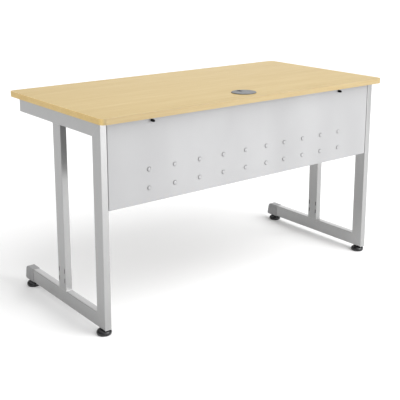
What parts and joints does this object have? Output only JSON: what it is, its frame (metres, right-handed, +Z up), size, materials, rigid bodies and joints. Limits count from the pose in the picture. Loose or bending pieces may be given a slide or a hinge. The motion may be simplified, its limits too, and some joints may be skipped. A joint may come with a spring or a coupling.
{
  "type": "teacher desk",
  "caption": "Teacher desk: maple laminate worktop on welded steel tube side frames, with a sheet-steel modesty panel, cable grommet and screw-adjusted levelling glides.",
  "frame": {"origin": "on the floor, under the middle of the desk", "axes": "+X along the worktop, -Y the side with the modesty panel, +Y the sitter's side, +Z up"},
  "size_m": [1.32, 0.657, 0.7522],
  "materials": {
    "silver_tube": "satin silver-grey powder coat",
    "grey_sheet": "satin light grey powder coat",
    "grey_plastic": "fine matt texture",
    "maple_laminate": "satin printed laminate, grain along the length",
    "maple_edge_band": "satin edge band",
    "backing_sheet": "plain matt brown balancing sheet",
    "particle_board": "raw board",
    "grommet_plastic": "satin",
    "black_plastic": "gloss",
    "zinc_steel": "bright zinc plate",
    "black_steel": "black oxide",
    "brass_insert": "turned"
  },
  "bodies": {
    "desk": {"left_front_post": "silver_tube", "left_mid_post": "silver_tube", "left_top_rail": "silver_tube", "left_foot_bar": "silver_tube", "right_front_post": "silver_tube", "right_mid_post": "silver_tube", "right_top_rail": "silver_tube", "right_foot_bar": "silver_tube", "left_foot_cap": "grey_plastic", "right_foot_cap": "grey_plastic", "left_rail_plug": "grey_plastic", "right_rail_plug": "grey_plastic", "worktop_core": "particle_board", "worktop_laminate": "maple_laminate", "worktop_backer": "backing_sheet", "worktop_edge_band": "maple_edge_band", "left_rail_screw_1": "zinc_steel", "left_rail_screw_2": "zinc_steel", "left_rail_screw_3": "zinc_steel", "left_panel_screw_lower": "zinc_steel", "left_panel_screw_upper": "zinc_steel", "left_bracket_screw": "zinc_steel", "right_rail_screw_1": "zinc_steel", "right_rail_screw_2": "zinc_steel", "right_rail_screw_3": "zinc_steel", "right_panel_screw_lower": "zinc_steel", "right_panel_screw_upper": "zinc_steel", "right_bracket_screw": "zinc_steel", "left_clamp_screw": "black_steel", "right_clamp_screw": "black_steel", "left_panel_bracket": "zinc_steel", "right_panel_bracket": "zinc_steel", "left_front_glide_insert": "brass_insert", "left_rear_glide_insert": "brass_insert", "right_front_glide_insert": "brass_insert", "right_rear_glide_insert": "brass_insert", "modesty_panel": "grey_sheet", "grommet_sleeve": "grommet_plastic"},
    "left_front_pad": {"left_front_glide_pad": "black_plastic"},
    "left_front_stud": {"left_front_glide_stud": "zinc_steel"},
    "left_rear_pad": {"left_rear_glide_pad": "black_plastic"},
    "left_rear_stud": {"left_rear_glide_stud": "zinc_steel"},
    "right_front_pad": {"right_front_glide_pad": "black_plastic"},
    "right_front_stud": {"right_front_glide_stud": "zinc_steel"},
    "right_rear_pad": {"right_rear_glide_pad": "black_plastic"},
    "right_rear_stud": {"right_rear_glide_stud": "zinc_steel"},
    "grommet_lid": {"grommet_lid": "grommet_plastic"},
    "grommet_shutter": {"grommet_shutter": "grommet_plastic"}
  },
  "joints": [
    {"name": "left_front_height", "type": "slide", "parent": "desk", "child": "left_front_pad", "axis": [0, 0, 1], "range_m": [-0.012, 0.002]},
    {"name": "left_front_turn", "type": "hinge", "parent": "left_front_pad", "child": "left_front_stud", "pos_m": [-0.6323, -0.2608, 0.03], "axis": [0, 0, 1], "range_deg": [-3460, 580]},
    {"name": "left_rear_height", "type": "slide", "parent": "desk", "child": "left_rear_pad", "axis": [0, 0, 1], "range_m": [-0.012, 0.002]},
    {"name": "left_rear_turn", "type": "hinge", "parent": "left_rear_pad", "child": "left_rear_stud", "pos_m": [-0.6323, 0.254, 0.03], "axis": [0, 0, 1], "range_deg": [-3460, 580]},
    {"name": "right_front_height", "type": "slide", "parent": "desk", "child": "right_front_pad", "axis": [0, 0, 1], "range_m": [-0.012, 0.002]},
    {"name": "right_front_turn", "type": "hinge", "parent": "right_front_pad", "child": "right_front_stud", "pos_m": [0.6323, -0.2608, 0.03], "axis": [0, 0, 1], "range_deg": [-3460, 580]},
    {"name": "right_rear_height", "type": "slide", "parent": "desk", "child": "right_rear_pad", "axis": [0, 0, 1], "range_m": [-0.012, 0.002]},
    {"name": "right_rear_turn", "type": "hinge", "parent": "right_rear_pad", "child": "right_rear_stud", "pos_m": [0.6323, 0.254, 0.03], "axis": [0, 0, 1], "range_deg": [-3460, 580]},
    {"name": "lid_lift", "type": "slide", "parent": "desk", "child": "grommet_lid", "axis": [0, 0, 1], "range_m": [0, 0.03]},
    {"name": "shutter_turn", "type": "hinge", "parent": "grommet_lid", "child": "grommet_shutter", "pos_m": [0, -0.234, 0.748], "axis": [0, 0, 1], "range_deg": [0, 180]}
  ],
  "couplings": [
    {"joint": "left_front_turn", "follows": "left_front_height", "rad_per_m": 5026.5},
    {"joint": "left_rear_turn", "follows": "left_rear_height", "rad_per_m": 5026.5},
    {"joint": "right_front_turn", "follows": "right_front_height", "rad_per_m": 5026.5},
    {"joint": "right_rear_turn", "follows": "right_rear_height", "rad_per_m": 5026.5}
  ]
}
